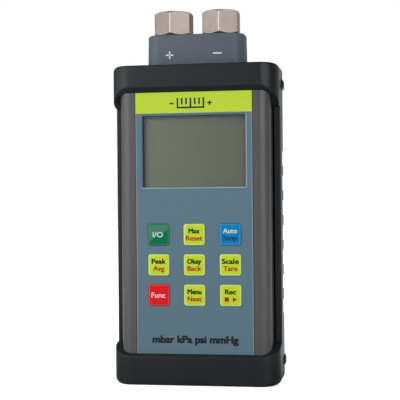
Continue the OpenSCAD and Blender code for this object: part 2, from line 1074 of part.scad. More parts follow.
module battery_holder() {
    color(dark_colour)
        in_case()
            difference() {
                box(tray_w, inner_back - tray_d, tray_h, tray_d, tray_z);
                box(
                    tray_w - 2 * tray_wall, inner_back, tray_inside,
                    tray_d + tray_floor, tray_z + tray_wall
                );
            }
}

// Turns the place of a cell over when its nub is down
module at_cell(i) {
    translate([cell_x(i), 0, tray_mid])
        rotate([0, cell_way(i) > 0 ? 0 : 180, 0])
            children();
}

module battery_cells() {
    color(cell_colour)
        in_case()
            for (i = [0:cell_count - 1])
                at_cell(i)
                    translate([0, cell_d, tray_inside / 2 - contact_t - cell_len]) {
                        cylinder(r = cell_r, h = cell_len - cell_nub_len);
                        cylinder(r = cell_nub_r, h = cell_len);
                    }
}

// Flat plate at the nub, and a bent leaf that presses on the other end
module battery_contacts() {
    color(nickel_colour)
        in_case()
            for (i = [0:cell_count - 1])
                at_cell(i) {
                    box(
                        contact_w, contact_w, contact_t,
                        cell_d - contact_w / 2, tray_inside / 2 - contact_t
                    );
                    translate([0, 0, -tray_inside / 2]) {
                        box(contact_w, contact_w, contact_t, cell_d - contact_w / 2, 0);
                        rotate([90, 0, 90])
                            linear_extrude(leaf_w, center = true)
                                polygon([
                                    [cell_d - leaf_w / 2, contact_t],
                                    [cell_d - leaf_w / 2 + contact_t, contact_t],
                                    [cell_d + leaf_w / 2 + contact_t, contact_t + leaf_len],
                                    [cell_d + leaf_w / 2, contact_t + leaf_len]
                                ]);
                    }
                }
}

// Lead from the tray up and over to the socket, for the side at +X
module lead() {
    in_case()
        translate([lead_x, lead_d, tray_z + tray_h]) {
            cylinder(r = lead_r, h = lead_rise);
            translate([-lead_bend_r, 0, lead_rise])
                rotate([90, 0, 0])
                    rotate_extrude(angle = 90)
                        translate([lead_bend_r, 0])
                            circle(r = lead_r);
            translate([-lead_bend_r, 0, lead_rise + lead_bend_r])
                rotate([0, -90, 0])
                    cylinder(r = lead_r, h = lead_x - lead_bend_r - socket_w / 2);
        }
}

module plus_lead() {
    color(lead_colour)
        lead();
}

module minus_lead() {
    color(black_colour)
        mirror([1, 0, 0])
            lead();
}

boot();
front_case();
rear_case();
battery_door();
port_block();
faceplate();
display_window();
key_top_left();
key_top_middle();
key_top_right();
key_middle_left();
key_centre();
key_middle_right();
key_bottom_left();
key_bottom_middle();
key_bottom_right();
plus_fitting();
minus_fitting();
plus_olive();
minus_olive();
plus_nut();
minus_nut();
port_seals();
lcd_glass();
lcd_frame();
zebra_strips();
main_board();
key_switches();
board_chips();
buzzer();
lead_socket();
pressure_sensor();
plus_hose();
minus_hose();
battery_holder();
battery_cells();
battery_contacts();
plus_lead();
minus_lead();
case_screws();
board_screws();
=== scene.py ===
import math

import bpy
import numpy as np
from mathutils import Matrix, Vector


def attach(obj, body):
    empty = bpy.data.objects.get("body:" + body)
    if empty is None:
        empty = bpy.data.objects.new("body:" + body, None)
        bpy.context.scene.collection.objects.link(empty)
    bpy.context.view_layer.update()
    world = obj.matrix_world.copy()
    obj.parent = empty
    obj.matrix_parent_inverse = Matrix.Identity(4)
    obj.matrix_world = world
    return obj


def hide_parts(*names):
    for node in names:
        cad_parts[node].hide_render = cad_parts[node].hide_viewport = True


bl_info = {
    "name": "Digital manometer",
    "version": (1, 0, 0),
    "blender": (4, 5, 0),
    "location": "3D View > Sidebar > Manometer",
    "description": "Dresses a hand-held pressure meter: rubber boot, face, keys, ports and inner parts",
    "category": "Object",
}

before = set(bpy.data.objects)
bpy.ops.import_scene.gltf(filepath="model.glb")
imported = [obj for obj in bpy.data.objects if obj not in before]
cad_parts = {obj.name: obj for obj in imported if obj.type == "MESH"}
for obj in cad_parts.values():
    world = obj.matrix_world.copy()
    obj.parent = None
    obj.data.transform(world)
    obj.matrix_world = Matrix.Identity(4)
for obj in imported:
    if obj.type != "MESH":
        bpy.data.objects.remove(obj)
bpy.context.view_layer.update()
MM = 0.001


def linear(code):
    """sRGB hex digits as a linear colour with alpha."""
    share = np.array([int(code[i:i + 2], 16) for i in (0, 2, 4)]) / 255
    return (*np.where(share <= 0.04045, share / 12.92, ((share + 0.055) / 1.055) ** 2.4), 1.0)


PLACE = {"subtype": "DISTANCE", "unit": "LENGTH"}
ANGLE = {"subtype": "ANGLE", "unit": "ROTATION"}


def number(name, description, default, **settings):
    """A property of one number."""
    return bpy.props.FloatProperty(name=name, description=description, default=default, **settings)


def length(name, description, mm):
    """A length property whose default is given in millimetres."""
    return number(name, description, mm * MM, min=0, precision=5, **PLACE)


def colour(name, description, code):
    """A colour property whose default is given as sRGB hex digits."""
    return bpy.props.FloatVectorProperty(
        name=name, description=description, default=linear(code), size=4, min=0, max=1, subtype="COLOR")


class ManometerBoot(bpy.types.PropertyGroup):
    low_edge: length("Bottom band edge", "Height of the bottom band's outer edge at the front", 14.75)
    high_edge: length("Top band edge", "Height of the top band's outer edge at the front", 156.2)
    soft: length("Edge radius", "Rounding along the rims of the rubber", 0.45)
    front_foot: length("Front foot radius", "Rounding of the lower edge at the front and back", 1.2)
    side_foot: length("Side foot radius", "Rounding of the lower edge at the sides", 3.4)
    front_top: length("Front top radius", "Rounding of the upper edge at the front and back", 1)
    side_top: length("Side top radius", "Rounding of the upper edge at the sides", 2.8)
    lug: length("Lug height", "How far the four side lugs stand out", 1)
    rubber: colour("Rubber", "Colour of the boot", "222326")


class ManometerFace(bpy.types.PropertyGroup):
    overlay: colour("Overlay", "Colour of the printed overlay", "5c7887")
    overlay_edge_highlight: colour("Overlay edge highlight", "Painted highlight along the side edges of the overlay", "7c9394")
    band: colour("Band", "Colour of the band over the display", "c2dc34")
    print_dark: colour("Dark print", "Lettering on the overlay", "070d1c")
    line: colour("Highlight line", "Painted highlight at the right and foot of the display", "9fb0b2")
    print_blue: colour("Blue print", "Arrows round the centre key", "1781b8")
    bezel: length("Bezel chamfer", "Width of the chamfer round the display opening", 0.45)
    lcd: colour("Display", "Colour of the liquid crystal", "80836c")


class ManometerKeys(bpy.types.PropertyGroup):
    bevel: length("Key bevel", "Width of the sloped rim of a key", 0.8)
    dome: length("Key dome", "Rise of the middle of a key over its rim", 0.12)
    cap: length("Legend height", "Height of a capital on a key", 2.45)
    line: length("Legend spacing", "Distance of each line from the middle of the key", 1.87)
    green: colour("Green", "Upper left key", "00754f")
    yellow: colour("Yellow-green", "The six keys of one colour", "c6df22")
    blue: colour("Blue", "Upper right key", "0084c2")
    red: colour("Red", "Lower left key", "e5181f")
    ink_red: colour("Red ink", "Second line of a legend", "b0200c")
    ink_dark: colour("Dark ink", "First line of a legend", "080a06")
    ink_navy: colour("Navy ink", "Second line on the blue key", "0b2052")
    ink_white: colour("White ink", "Legends on the green, blue and red keys", "d4e8e0")
    rim: number("Rim paleness", "How far the rim of a yellow-green key pales to white", 0.2, min=0, max=1)


class ManometerPorts(bpy.types.PropertyGroup):
    corner: length("Nut corner radius", "Rounding of the six upright edges of a nut", 0.35)
    block_edge: length("Block edge radius", "Rounding of the upper edge of the port block", 0.9)
    block: colour("Block", "Colour of the port block", "5c636e")
    nickel: colour("Nickel", "Colour of the plated nuts", "a0968f")
    painted_edge_highlight: colour("Edge highlight", "Colour of the painted highlight on the upright edges of the nuts", "dcd2c8")
    brass: colour("Brass", "Colour of the olives", "c8a765")
    mark: colour("Port marks", "Plus and minus beside the ports", "e6ebf0")


class ManometerStage(bpy.types.PropertyGroup):
    camera_x: number("Camera right", "Place of the camera to the right", 0.09917, **PLACE)
    camera_y: number("Camera back", "Place of the camera in depth", -0.57658, **PLACE)
    camera_z: number("Camera height", "Height of the camera", 0.09644, **PLACE)
    yaw: number("Yaw", "Turn of the camera to the left", math.radians(9.73), **ANGLE)
    pitch: number("Pitch", "Tilt of the camera upwards", math.radians(0.04), **ANGLE)
    roll: number("Roll", "Roll of the camera", math.radians(0.51), **ANGLE)
    lens: number("Lens", "Focal length on a 36 mm sensor", 97.96, subtype="DISTANCE_CAMERA", unit="CAMERA")
    fill: number("Fill light", "Strength of the light from all round", 0.42, min=0)
    glow: number("Floor glow", "Added white of the floor where the camera sees it", 0.75, min=0)
    floor: colour("Floor", "Colour of the floor", "f4f4f4")


# Meshes


def linked(name, data):
    """A new object in the scene."""
    obj = bpy.data.objects.new(name, data)
    bpy.context.scene.collection.objects.link(obj)
    return obj


def circle(angle):
    """Points of a unit circle at the given angles."""
    return np.stack([np.cos(angle), np.sin(angle)], -1)


# Points of a rounded corner
CORNER = 9


def ring(half_w, half_h, radius):
    """Closed outline of a rectangle with round corners, counterclockwise from the lower right corner:
    each corner is a quarter circle about a centre set in by its radius."""
    turn = np.linspace(0, math.pi / 2, CORNER)
    angle = np.concatenate([turn + k * math.pi / 2 for k in (-1, 0, 1, 2)])
    side = np.repeat([[1, -1], [1, 1], [-1, 1], [-1, -1]], CORNER, 0)
    centre = side * [half_w - radius, half_h - radius]
    return centre + radius * circle(angle)


def quads(ids, keep=None, flip=False):
    """Faces between the rows of a grid of vertex numbers whose columns close on themselves."""
    lower, upper = ids[:-1], ids[1:]
    faces = np.stack([lower, np.roll(lower, -1, 1), np.roll(upper, -1, 1), upper], -1)
    if flip:
        faces = faces[..., ::-1]
    return (faces.reshape(-1, 4) if keep is None else faces[keep]).tolist()


def strip(rings, looped=False):
    """Surface through rings of equal count, of which the last can be joined to the first."""
    rings = np.array(rings)
    ids = np.arange(rings.shape[0] * rings.shape[1]).reshape(rings.shape[:2])
    return rings.reshape(-1, 3), quads(np.concatenate([ids, ids[:1]]) if looped else ids)


def loft(rings):
    """Closed solid through rings of equal count: a strip of quads between each two, a cap at either end."""
    verts, faces = strip(rings)
    first = np.arange(len(rings[0]))
    return verts, faces + [first[::-1].tolist(), (first + len(verts) - len(first)).tolist()]


def raised(points, z):
    """Points in x and y at one height, or each at its own."""
    return np.insert(points, 2, z, axis=1)


def facing_front(outline, depth):
    """Outline in x and z, turned into points at one depth, in the order that faces the front."""
    return np.insert(outline, 1, depth, axis=1)


# Height of a capital of the built-in font, as a share of its size
CAP_SHARE = 0.682


def lettering(words, cap, centre, width, bold):
    """Flat letters that face the front: the built-in font's outlines, filled, scaled to a capital of the
    given height and stretched to the width. Five copies a share of that height apart, each a hair in front
    of the last, make the strokes bold."""
    curve = bpy.data.curves.new("letters", "FONT")
    curve.body, curve.resolution_u = words, 3
    holder = linked("letters", curve)
    mesh = bpy.data.meshes.new_from_object(holder.evaluated_get(bpy.context.evaluated_depsgraph_get()))
    co = np.array([vertex.co[:2] for vertex in mesh.vertices])
    faces = [list(face.vertices) for face in mesh.polygons]
    bpy.data.objects.remove(holder)
    bpy.data.curves.remove(curve)
    bpy.data.meshes.remove(mesh)
    low, high = co.min(0), co.max(0)
    scale = cap / CAP_SHARE
    flat = (co - [(low[0] + high[0]) / 2, CAP_SHARE / 2]) * scale
    flat[:, 0] *= width / ((high[0] - low[0]) * scale)
    moves = np.array([[-1, -0.6], [1, -0.6], [1, 0.6], [-1, 0.6], [0, 0]]) * bold * cap
    copies = [facing_front(flat + centre + move, -0.004 * k) for k, move in enumerate(moves)]
    faces = [[n + k * len(flat) for n in face] for k in range(len(moves)) for face in faces]
    return np.concatenate(copies), faces


def shapes(*outlines):
    """Flat pieces that face the front, given as outlines in x and z, each one face."""
    counts = np.cumsum([0] + [len(o) for o in outlines])
    faces = [list(range(a, b)) for a, b in zip(counts[:-1], counts[1:])]
    return facing_front(np.concatenate(outlines), 0), faces


def bar(x, z, w, h):
    """Outline of an upright or lying bar about its middle."""
    return np.array([[-1, -1], [1, -1], [1, 1], [-1, 1]]) * [w / 2, h / 2] + [x, z]


def piece(name, parts, body, replaces=(), smooth=35, edges=None, width=0.0):
    """One object of several parts, each (vertices in mm, faces, material); a part without vertices of its
    own uses those of the part before it. Edges are pairs of vertex numbers that a Bevel modifier rounds."""
    verts, faces, index, count, base = [], [], [], 0, 0
    for k, (v, f, _) in enumerate(parts):
        if v is not None:
            verts.append(np.asarray(v) * MM)
            base, count = count, count + len(v)
        faces += [[n + base for n in face] for face in f]
        index += [k] * len(f)
    mesh = bpy.data.meshes.new(name)
    mesh.from_pydata(np.concatenate(verts).tolist(), [], faces)
    for _, _, mat in parts:
        mesh.materials.append(mat)
    mesh.polygons.foreach_set("material_index", index)
    mesh.polygons.foreach_set("use_smooth", [True] * len(faces))
    mesh.set_sharp_from_angle(angle=math.radians(smooth))
    obj = linked(name, mesh)
    if edges is not None:
        pairs = np.empty(len(mesh.edges) * 2, int)
        mesh.edges.foreach_get("vertices", pairs)
        wanted = np.sort(np.asarray(edges), 1) @ [count, 1]
        here = np.sort(pairs.reshape(-1, 2), 1) @ [count, 1]
        weight = mesh.attributes.new("bevel_weight_edge", "FLOAT", "EDGE")
        weight.data.foreach_set("value", np.isin(here, wanted).astype(np.float32))
        bevel = obj.modifiers.new("Soft rims", "BEVEL")
        bevel.limit_method, bevel.width, bevel.segments = "WEIGHT", width * MM, 3
    mesh.update()
    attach(obj, body)
    if replaces:
        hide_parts(*replaces)
    return obj


# Materials

# Sockets of a Mix node that mixes colours: factor, both colours, result
SHARE, UNDER, OVER, MIXED = 0, 6, 7, 2


def add(tree, kind, inputs=None, **settings):
    """Adds one node: settings go to its properties, inputs to its sockets. A socket given there is linked, as
    is a node, by its first output or, of a Mix node, by the mixed colour."""
    node = tree.nodes.new("ShaderNode" + kind)
    for key, value in settings.items():
        setattr(node, key, value)
    for key, value in (inputs or {}).items():
        if isinstance(value, bpy.types.Node):
            value = value.outputs[MIXED if value.bl_idname == "ShaderNodeMix" else 0]
        if isinstance(value, bpy.types.NodeSocket):
            tree.links.new(value, node.inputs[key])
        else:
            node.inputs[key].default_value = value
    return node


def calc(tree, operation, *values):
    """Adds a sum, a product, a comparison or the like of sockets and numbers."""
    return add(tree, "Math", dict(enumerate(values)), operation=operation)


def remap(tree, value, low, high, to_low=0.0, to_high=1.0, kind="LINEAR"):
    """Adds a map of the values between two limits to those between two others."""
    return add(tree, "MapRange", {"Value": value, "From Min": low, "From Max": high, "To Min": to_low,
                                  "To Max": to_high}, interpolation_type=kind)


def start(name, sockets):
    """A new material, its tree and shader, and the object's own coordinates in it."""
    mat = bpy.data.materials.new(name)
    mat.use_nodes = True
    tree = mat.node_tree
    tree.nodes.clear()
    shader = add(tree, "BsdfPrincipled", sockets)
    add(tree, "OutputMaterial", {"Surface": shader})
    return mat, tree, shader, add(tree, "TexCoord").outputs["Object"]


def grained(name, tone, grain, depth, roughness, spread, sockets=None, stretch=(1, 1, 1)):
    """A noise of the grain's size in mm darkens and lightens the tone by the spread and lifts the surface
    by the depth in mm; a second one, fifteen times as large, gives the slow change of a used surface."""
    mat, tree, shader, place = start(name, {"Roughness": roughness, **(sockets or {})})
    at = add(tree, "Mapping", {"Vector": place, "Scale": stretch})
    fine = add(tree, "TexNoise", {"Vector": at, "Scale": 1 / (grain * MM), "Detail": 3.0})
    slow = add(tree, "TexNoise", {"Vector": place, "Scale": 1 / (15 * grain * MM)})
    half = calc(tree, "MULTIPLY", calc(tree, "ADD", fine, slow), 0.5)
    darker = tuple(c * (1 - spread) for c in tone[:3]) + (1,)
    lighter = tuple(min(1, c * (1 + spread)) for c in tone[:3]) + (1,)
    tones = add(tree, "Mix", {SHARE: half, UNDER: darker, OVER: lighter}, data_type="RGBA")
    tree.links.new(tones.outputs[MIXED], shader.inputs["Base Color"])
    bump = add(tree, "Bump", {"Height": fine, "Distance": depth * MM})
    tree.links.new(bump.outputs["Normal"], shader.inputs["Normal"])
    return mat


def within(mat):
    """The tree of a grained material, and the three parts of the object's own coordinates in it."""
    tree = mat.node_tree
    place = tree.nodes["Texture Coordinate"].outputs["Object"]
    return tree, add(tree, "SeparateXYZ", {"Vector": place}).outputs


def lay_over(mat, share, tone):
    """Lays a tone over the base colour of a material, by a share from 0 to 1."""
    tree = mat.node_tree
    base = tree.nodes["Principled BSDF"].inputs["Base Color"]
    under = base.links[0].from_socket
    tones = add(tree, "Mix", {SHARE: share, UNDER: under, OVER: tone}, data_type="RGBA")
    tree.links.new(tones.outputs[MIXED], base)


def dress(mat, *names):
    """Gives CAD nodes a better material."""
    for name in names:
        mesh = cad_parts[name].data
        mesh.materials.clear()
        mesh.materials.append(mat)


class MANOMETER_OT_boot(bpy.types.Operator):
    """Rubber boot"""
    bl_idname = "manometer.boot"
    bl_label = "Boot"

    def execute(self, context):
        p = context.scene.manometer_boot
        # Moulded rubber: near black, its sheen dulled by a bloom and broken up by a fine spark-eroded grain
        rubber = grained("Moulded rubber", p.rubber, 0.5, 0.03, 0.28, 0.15, {"Specular IOR Level": 0.34})
        verts, faces, rims, edges = boot_shell(p)
        piece("rubber_boot", [(verts, faces + rims, rubber)], "meter", ["boot"], 32,
              edges, p.soft / MM)
        return {"FINISHED"}


# The boot in mm. Each outline: x of a corner's centre, y of the front and the rear centre, corner radius
OUTER = (34, -8.95, 8.95, 10.3)
INNER = (34.2, -11.05, 10.25, 6)
HOLE = (19.1, -4.4, 2.7, 7.5)
SIDE = 44.3
ROOF, CEILING, SOLE, CAVITY_RADIUS = 167.9, 164.5, 3.2, 3.0
LIP_FRONT, LIP_LOW, LIP_HIGH = -3.95, 21.3, 145.9
# Grip notches: lower ends, height, front end and distance of their floors from the middle
NOTCHES, NOTCH_H, NOTCH_FRONT, NOTCH_FLOOR = 35.5 + 13.25 * np.arange(7), 7.7, 0.95, 43.6
# Lugs: heights of their middles, half height, depth of their middle and half length
LUGS, LUG_HALF_H, LUG_MIDDLE, LUG_HALF_LENGTH = (10.9, 158.2), 2.9, 7.45, 4.5
WINDOW_HALF_W, WINDOW_LOW, WINDOW_HIGH = 32, 10.2, 66.2
# Rows of the wall from its foot to the front edge of a band
BAND_ROWS = 10


def lip_way(outline, plan):
    """Way along an outline from the start of its front corner to the side lip, from 0 to 1, eased at both
    ends: the arc is its angle times its radius, and the straight side follows it."""
    corner_x, corner_y, _, radius = plan
    x, y = np.abs(outline[:, 0]), outline[:, 1]
    arc = radius * np.arctan2(np.clip(x - corner_x, 0, None), np.clip(corner_y - y, 1e-9, None))
    whole = radius * math.pi / 2 + LIP_FRONT - corner_y
    share = np.clip((arc + np.clip(y - corner_y, 0, None)) / whole, 0, 1)
    return share * share * (3 - 2 * share)


def half_outline(plan, side, scale=1.0):
    """Half an outline from the middle of the front to the middle of the rear: straight, a quarter circle,
    straight along the side, a quarter circle, straight. The second circle's columns are listed one by one,
    close together where the lugs end."""
    corner_x, front_y, rear_y, radius = plan
    front = np.array([0, 9, 18, 27, 34.0]) * scale
    bend = np.linspace(0, math.pi / 2, 15)[1:]
    turn = np.radians([6, 9.5, 13.2, 15.66, 20, 27, 34, 42, 50, 58, 66, 74, 82, 90])
    rear = np.array([33, 32, 24, 16, 8, 0.0]) * scale
    x = (front, corner_x + radius * np.sin(bend), np.full(len(side), corner_x + radius),
         corner_x + radius * np.cos(turn), rear)
    y = (np.full(len(front), front_y - radius), front_y - radius * np.cos(bend), side,
         rear_y + radius * np.sin(turn), np.full(len(rear), rear_y + radius))
    return np.stack([np.concatenate(x), np.concatenate(y)], 1)


def boot_plan():
    """Columns round the boot, counterclockwise from the middle of the front: outer wall, inner wall and the
    hole for the port block, each a rectangle with round corners run through at the same pace."""
    side = np.array([-7.6, -5.8, LIP_FRONT, -2, 0.05, 0.25, 0.8, 1.1, 2.95, 3.25, 3.8, 4.8, 7.4, 9.25])
    inner_side = np.interp(side, [-9.25, LIP_FRONT, 5, 9.25], [INNER[1], LIP_FRONT, 5, INNER[2]])
    hole_side = np.interp(side, OUTER[1:3], HOLE[1:3])
    halves = (half_outline(OUTER, side), half_outline(INNER, inner_side),
              half_outline(HOLE, hole_side, HOLE[0] / OUTER[0]))
    return [np.concatenate([half, half[-2:0:-1] * [-1, 1]]) for half in halves]


def boot_rows(y, low, high, foot, top):
    """Heights of the rows of a wall, one column for each depth: even rows in the bands in front of the side
    lips, and behind them rows at every edge of lugs, notches and window."""
    grip = np.concatenate([NOTCHES + at for at in (-0.15, 0.15, NOTCH_H - 0.15, NOTCH_H + 0.15)])
    lug = np.array([-2.9, -2.65, -1.95, -1.2, 0, 1.2, 1.95, 2.65, 2.9])
    ahead = y < -4.5
    share = np.linspace(0, 1, BAND_ROWS + 1)[1:-1, None]
    lower = np.where(ahead, foot + (low - foot) * share, (LUGS[0] + lug)[:, None])
    upper = np.where(ahead, high + (top - high) * share, (LUGS[1] + lug)[:, None])
    middle = np.sort(np.concatenate([grip, [27, WINDOW_HIGH, 132]]))[:, None] + 0 * y
    return np.concatenate([
        foot[None], lower, low[None], low[None] + 0.4, middle,
        high[None] - 0.4, high[None], upper, top[None]])


def boot_shell(p):
    """Closed rubber shell: outer wall up from the foot, over the roof, through the hole of the port block,
    down the cavity, with a cap under the foot and one on the cavity's floor. A fillet of radius r runs from
    r (1 - sin a) inside the outline at height r (1 - cos a). The front opening and the rear window are left
    out of both walls, and their edges are joined across the rubber."""
    outer, inner, hole = boot_plan()
    count = len(outer)
    edge = np.roll(outer, -1, 0) - np.roll(outer, 1, 0)
    out = np.stack([edge[:, 1], -edge[:, 0]], 1)
    out /= np.linalg.norm(out, axis=1)[:, None]
    sideways = out[:, 0] ** 2
    foot = (p.front_foot + (p.side_foot - p.front_foot) * sideways) / MM
    top = (p.front_top + (p.side_top - p.front_top) * sideways) / MM
    way = lip_way(outer, OUTER)
    low, high = p.low_edge / MM, p.high_edge / MM
    heights = boot_rows(
        outer[:, 1], low + (LIP_LOW - low) * way, high + (LIP_HIGH - high) * way, foot, ROOF - top)
    x, y = outer.T[:, None] + 0 * heights
    starts = NOTCHES[:, None, None]
    notched = ((heights > starts) & (heights < starts + NOTCH_H)).any(0) & (y > NOTCH_FRONT)
    x = np.where(notched, np.clip(x, -NOTCH_FLOOR, NOTCH_FLOOR), x)
    # Each lug swells to its height as 1 - z^6 up and 1 - y^6 along, over its half height and length
    up = np.minimum(*(np.abs(heights - z) for z in LUGS)) / LUG_HALF_H
    along = np.abs(y - LUG_MIDDLE) / LUG_HALF_LENGTH
    swell = np.clip(1 - up ** 6, 0, 1) * np.clip(1 - along ** 6, 0, 1) * (np.abs(x) > 30)
    x = x + np.sign(x) * (SIDE + p.lug / MM - np.abs(x)) * swell
    wall = np.stack([x, y, heights], -1)

    # The inner edges of the front opening follow the outer ones, 1 to 3 mm further in
    way = lip_way(inner, INNER)
    cavity = boot_rows(inner[:, 1], 16.4 + 5.9 * way, 153.4 - 8.2 * way ** 1.5,
                       np.full(count, SOLE + CAVITY_RADIUS), np.full(count, CEILING - CAVITY_RADIUS))
    x, y = inner.T[:, None] + 0 * cavity
    # Grooves that leave the thin side lips free of the case
    grooved = (np.abs(x) > 40) & (y > -4) & (y < 0.1) & (cavity > 22.5) & (cavity < 145.1)
    lining = np.stack([np.where(grooved, np.sign(x) * 41, x), y, cavity], -1)

    def fillet(outline, radius, z, up, angles):
        a, radius = np.radians(angles)[:, None], radius * np.ones(count)
        flat = outline[None] - out[None] * (radius * (1 - np.sin(a)))[..., None]
        return np.concatenate([flat, (z + up * radius * (1 - np.cos(a)))[..., None]], -1)

    steps = np.array([0, 18, 36, 54, 72])
    collar = [raised(hole + 0.4 * out, ROOF), raised(hole, ROOF - 0.4), raised(hole, CEILING)]
    rings = [fillet(outer, foot, 0, 1, steps), wall, fillet(outer, top, ROOF, -1, steps[::-1]),
             np.stack(collar), fillet(inner, CAVITY_RADIUS, CEILING, -1, steps), lining[::-1],
             fillet(inner, CAVITY_RADIUS, SOLE, 1, steps[::-1])]
    sizes = np.cumsum([0] + [len(r) for r in rings])
    verts = np.concatenate(rings)
    ids = np.arange(verts.shape[0] * count).reshape(-1, count)
    shell = ids[sizes[1]:sizes[2]]
    inside = ids[sizes[5]:sizes[6]][::-1]
    mid_x, mid_y = ((outer + np.roll(outer, -1, 0)) / 2).T
    row = np.arange(len(heights) - 1)[:, None]
    opening = (row >= BAND_ROWS) & (row < len(heights) - 1 - BAND_ROWS) & (mid_y < LIP_FRONT)
    mid_z = (heights[:-1, count // 2] + heights[1:, count // 2])[:, None] / 2
    window = (mid_z > WINDOW_LOW) & (mid_z < WINDOW_HIGH) & (mid_y > 19) & (np.abs(mid_x) < WINDOW_HALF_W)
    keep = ~(opening | window)
    faces = quads(ids[:sizes[1] + 1]) + quads(shell, keep) + quads(ids[sizes[2] - 1:sizes[5] + 1])
    faces += quads(inside, keep, True) + quads(ids[sizes[6] - 1:])
    faces += [ids[0, ::-1].tolist(), ids[-1].tolist()]

    rims, edges = [], []
    # Each side on which a face that is kept can border a gap: the step to the gap, and the side's two ends
    for dj, di, *ends in ((-1, 0, (0, 1), (0, 0)), (1, 0, (1, 0), (1, 1)),
                          (0, 1, (1, 1), (0, 1)), (0, -1, (0, 0), (1, 0))):
        j, i = np.nonzero(keep & np.roll(~keep, (-dj, -di), (0, 1)))
        (oa, ia), (ob, ib) = (
            [skin[j + a, (i + b) % count] for skin in (shell, inside)] for a, b in ends)
        rims += np.stack([oa, ob, ib, ia], 1).tolist()
        edges.append(np.stack([oa, ob], 1))
    flat = verts.reshape(-1, 3)
    used = np.unique(np.concatenate([np.asarray(f) for f in faces]))
    fresh = np.full(len(flat), -1)
    fresh[used] = np.arange(len(used))
    faces, rims = ([fresh[np.asarray(f)].tolist() for f in part] for part in (faces, rims))
    return flat[used], faces, rims, fresh[np.concatenate(edges)]


class MANOMETER_OT_case(bpy.types.Operator):
    """Both case shells and the battery door"""
    bl_idname = "manometer.case"
    bl_label = "Case"

    def execute(self, context):
        # ABS, moulded with a satin texture: mid grey, a broad soft sheen along the rounded rails
        abs_plastic = grained("Satin ABS", linear("525252"), 0.4, 0.012, 0.3, 0.06, {"IOR": 1.53})
        dress(abs_plastic, "front_case", "rear_case", "battery_door")
        return {"FINISHED"}


# Where the front of the case lies, just proud of it the overlay, and the middle of the display opening
CASE_FRONT, FILM_FRONT, DISPLAY_Z = -17.05, -17.07, 122.35


class MANOMETER_OT_face(bpy.types.Operator):
    """Printed overlay, its marks, and the chamfer round the display opening"""
    bl_idname = "manometer.face"
    bl_label = "Face"

    def execute(self, context):
        p = context.scene.manometer_face
        # Screen-printed polycarbonate film with a fine velvet surface: even colour, low broad gloss, and a
        # painted highlight, a paler tone, along its side edges
        film = grained("Printed film", p.overlay, 0.3, 0.004, 0.45, 0.03, {"Specular IOR Level": 0.4})
        tree, spot = within(film)
        # Painted highlight: the side edges of the film take a paler tone that stands in for light catching
        # them
        edge_highlight_share = calc(tree, "GREATER_THAN", calc(tree, "ABSOLUTE", spot["X"]), 30.4 * MM)
        lay_over(film, edge_highlight_share, p.overlay_edge_highlight)
        lay_over(film, calc(tree, "GREATER_THAN", spot["Z"], 142.5 * MM), p.band)
        dress(film, "faceplate")

        # Screen-printing inks: opaque and dull; the light one paints highlights by the display
        inks = (("Dark ink", p.print_dark, 0.1), ("Blue ink", p.print_blue, 0.1), ("Light ink", p.line, 0.05))
        dark, blue, light = (grained(name, tone, 0.4, 0.003, 0.5, spread) for name, tone, spread in inks)
        units = lettering("mbar kPa psi mmHg", 3.6, (0.1, 24.0), 45.2, 0.085)
        # Plain scale in the band: seven ticks, every third one tall, on a line, between a minus and a plus
        middle, foot, sign_z = -1.4, 145.3, 147.5
        ticks = [bar(middle + 2.3 * k, 148.6 if k % 3 else 148, 0.9, 3.4 if k % 3 else 4.8)
                 for k in range(-3, 4)]
        scale = shapes(*ticks, bar(middle, foot, 14.7, 0.9), bar(-11.5, sign_z, 2.3, 0.75),
                       bar(8.7, sign_z, 2.3, 0.75), bar(8.7, sign_z, 0.75, 2.3))
        # Arrows round the centre key, pointing away from it, and dashes under three keys
        tip = np.array([[-1.3, -0.9], [1.3, -0.9], [0, 1.1]])
        turns = [np.array([[c, -s], [s, c]]) for c, s in ((1, 0), (0, 1), (-1, 0), (0, -1))]
        places = ((0, 70.6), (-7.6, 63), (0, 55.45), (7.7, 63))
        arrows = [tip @ turn.T + at for turn, at in zip(turns, places)]
        dashes = [bar(x, z, 4.6, 0.5) for x, z in ((0, 39.5), (19, 39.4), (19, 55.2))]
        guides = shapes(*arrows, *dashes)
        # Painted highlight: pale lines at the right and the foot of the display stand in for light on the
        # opening's edges
        # These bars are a painted highlight, not print
        highlight_lines = shapes(bar(27.8, 122.1, 0.4, 38.2), bar(0, 103.2, 55.6, 0.45))
        prints = ((units, dark), (scale, dark), (guides, blue), (highlight_lines, light))
        piece("face_print", [(v + [0, FILM_FRONT, 0], f, m) for (v, f), m in prints], "meter")

        # Chamfer cut into the film: its dark colour is painted shade at the left and top, and at the right
        # and foot it takes the pale line colour as a painted highlight
        cut = grained("Cut film edge", linear("465a66"), 0.3, 0.003, 0.5, 0.04)
        tree, spot = within(cut)
        right = calc(tree, "GREATER_THAN", spot["X"], 27.2 * MM)
        under = calc(tree, "LESS_THAN", spot["Z"], 103.8 * MM)
        # Painted highlight at the right and foot of the chamfer
        lay_over(cut, calc(tree, "MAXIMUM", right, under), p.line)
        w = p.bezel / MM
        # Half width, half height and corner radius of the opening, and depth
        rows = ((27.35 + w, 18.85 + w, 0.6, -17.06), (27.35 + w * 0.7, 18.85 + w * 0.7, 0.5, -17.12),
                (27.3, 18.8, 0.3, -16.6), (27.25, 18.75, 0.3, -15.0), (27.3, 18.8, 0.3, -14.9))
        rings = [facing_front(ring(a, b, r) + [0, DISPLAY_Z], d) for a, b, r, d in rows]
        piece("window_bezel", [(*strip(rings), cut)], "meter", smooth=50)
        return {"FINISHED"}


